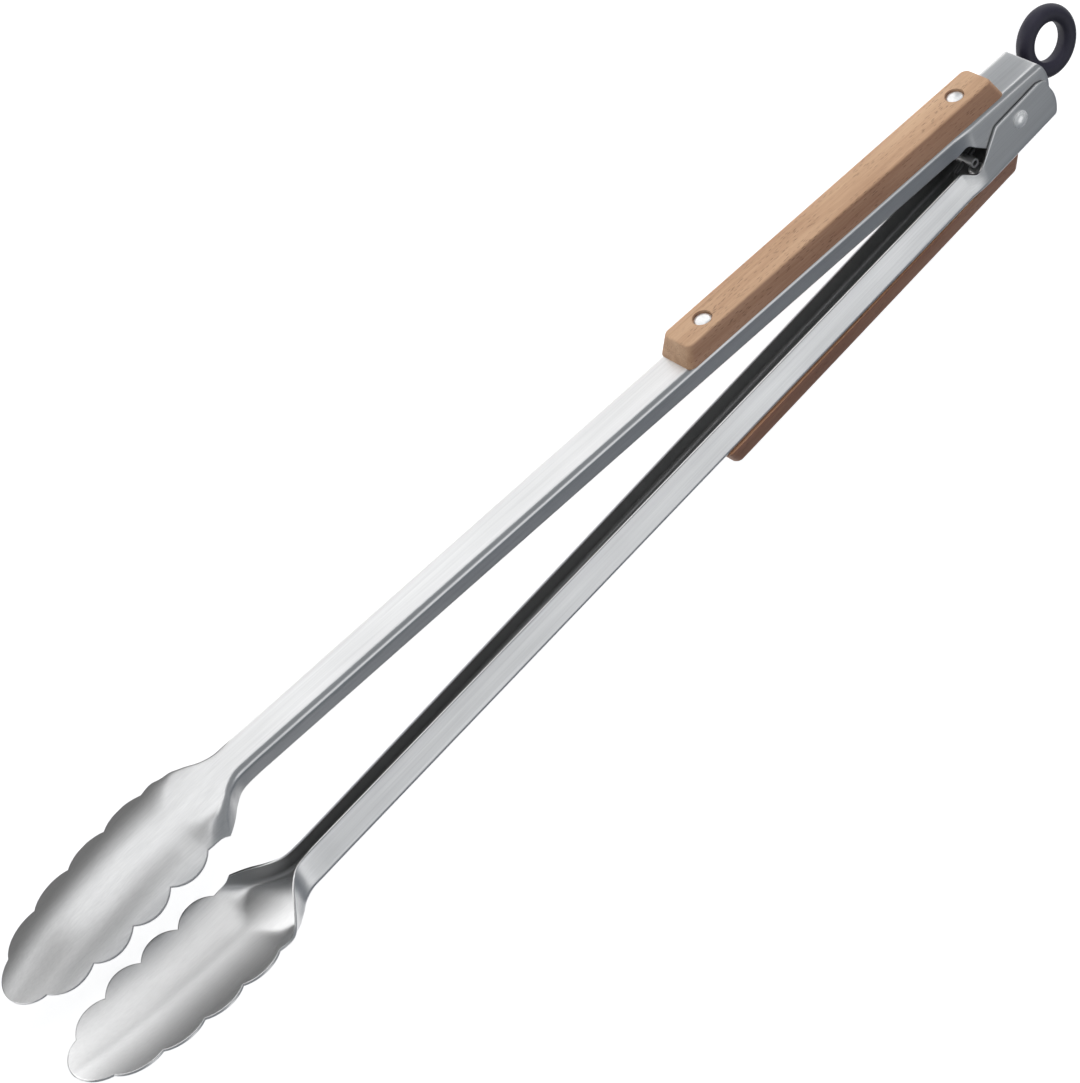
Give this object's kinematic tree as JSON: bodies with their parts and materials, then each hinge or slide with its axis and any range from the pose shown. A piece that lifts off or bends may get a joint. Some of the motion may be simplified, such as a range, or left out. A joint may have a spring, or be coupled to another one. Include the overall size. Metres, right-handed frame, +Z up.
{
  "type": "spring loaded kitchen tongs",
  "caption": "Long sprung steel tongs with scalloped scoop heads, wooden grips riveted to the arms, a hinge rivet, a sliding latch and a dark pull ring.",
  "frame": {"origin": "on the surface the tongs lie on, under the middle of their bounding box", "axes": "+X from the pull ring towards the tips, +Z up along the hinge axis, +Y towards the arm with the outer ears"},
  "size_m": [0.4482, 0.0588, 0.0388],
  "materials": {
    "arm_steel": "satin, brushed lengthwise",
    "grip_wood": "oiled beech, fine grain",
    "rivet_steel": "bright",
    "spring_steel": "plain drawn wire",
    "ring_rubber": "matte, very dark blue grey"
  },
  "bodies": {
    "hinge": {"pivot_rivet": "rivet_steel", "pivot_bush": "rivet_steel", "return_spring": "spring_steel"},
    "outer_arm": {"outer_arm": "arm_steel", "outer_arm_grip": "grip_wood", "outer_grip_rivet_back": "rivet_steel", "outer_grip_rivet_front": "rivet_steel"},
    "inner_arm": {"inner_arm": "arm_steel", "inner_arm_grip": "grip_wood", "inner_grip_rivet_back": "rivet_steel", "inner_grip_rivet_front": "rivet_steel"},
    "latch": {"latch_strip": "arm_steel", "latch_pin": "rivet_steel", "pull_ring": "ring_rubber"}
  },
  "joints": [
    {"name": "outer_arm_close", "type": "hinge", "parent": "hinge", "child": "outer_arm", "pos_m": [-0.18257, 0, 0.0194], "axis": [0, 0, -1], "range_deg": [0, 2.8], "stiffness_Nm_per_rad": 0.35, "springref_deg": -20.05, "deforming": ["return_spring"]},
    {"name": "inner_arm_close", "type": "hinge", "parent": "hinge", "child": "inner_arm", "pos_m": [-0.18257, 0, 0.0194], "axis": [0, 0, 1], "range_deg": [0, 2.8], "stiffness_Nm_per_rad": 0.35, "springref_deg": -20.05},
    {"name": "latch_pull", "type": "slide", "parent": "hinge", "child": "latch", "axis": [-0.9977, -0.068, 0], "range_m": [0, 0.003]}
  ],
  "couplings": [
    {"joint": "inner_arm_close", "follows": "outer_arm_close", "ratio": 1}
  ]
}
